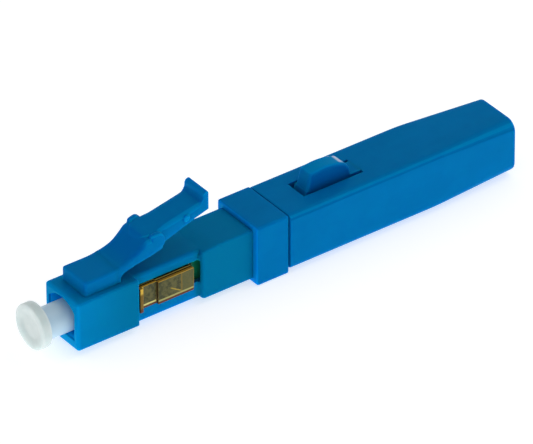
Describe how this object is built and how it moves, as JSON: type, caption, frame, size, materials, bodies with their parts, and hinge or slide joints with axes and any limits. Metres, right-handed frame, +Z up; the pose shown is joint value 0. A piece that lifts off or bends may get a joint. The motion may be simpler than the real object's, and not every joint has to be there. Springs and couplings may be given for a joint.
{
  "type": "field-installable fibre connector",
  "caption": "Latched square plug with a capped ferrule, a window on a splice lock, a collar and a tapering tail sleeve that clamps a flat drop cable.",
  "frame": {"origin": "middle of the plug's front face, on the fibre axis", "axes": "+X along the fibre axis from the plug's nose to the tail, -Y the side with the window, +Z up, the side with the latch"},
  "size_m": [0.0482, 0.006, 0.0102],
  "materials": {
    "blue_plastic": "satin moulded",
    "cap_plastic": "milky, waxy",
    "ceramic": "polished",
    "fibre_glass": "polished",
    "turned_steel": "turned",
    "green_plastic": "moulded",
    "plate_plastic": "moulded",
    "spring_steel": "bright",
    "amber_plastic": "clear, polished"
  },
  "bodies": {
    "plug": {"plug_housing": "blue_plastic", "rear_body": "blue_plastic"},
    "latch": {"latch_lever": "blue_plastic"},
    "ferrule_set": {"ferrule": "ceramic", "fibre_stub": "fibre_glass", "ferrule_flange": "turned_steel", "splice_base": "green_plastic", "clamp_plate": "plate_plastic", "splice_clip": "spring_steel", "float_spring": "spring_steel"},
    "slider": {"lock_slider": "amber_plastic"},
    "cap": {"dust_cap": "cap_plastic"},
    "sleeve": {"tail_sleeve": "blue_plastic"},
    "press_tab": {"release_button": "blue_plastic"}
  },
  "joints": [
    {"name": "latch_flex", "type": "hinge", "parent": "plug", "child": "latch", "pos_m": [0.00465, 0, 0.00261], "axis": [0, 1, 0], "range_deg": [0, 12], "stiffness_Nm_per_rad": 0.1},
    {"name": "ferrule_float", "type": "slide", "parent": "plug", "child": "ferrule_set", "axis": [1, 0, 0], "range_m": [0, 0.00035], "stiffness_N_per_m": 1000, "springref_m": -0.002, "deforming": ["float_spring"]},
    {"name": "slider_lock", "type": "slide", "parent": "ferrule_set", "child": "slider", "axis": [1, 0, 0], "range_m": [0, 0.0004]},
    {"name": "cap_pull", "type": "slide", "parent": "ferrule_set", "child": "cap", "axis": [-1, 0, 0], "range_m": [0, 0.006]},
    {"name": "sleeve_slide", "type": "slide", "parent": "plug", "child": "sleeve", "axis": [1, 0, 0], "range_m": [0, 0.016]},
    {"name": "tab_flex", "type": "hinge", "parent": "sleeve", "child": "press_tab", "pos_m": [0.0298, 0, 0.00207], "axis": [0, -1, 0], "range_deg": [0, 5], "stiffness_Nm_per_rad": 0.15}
  ]
}
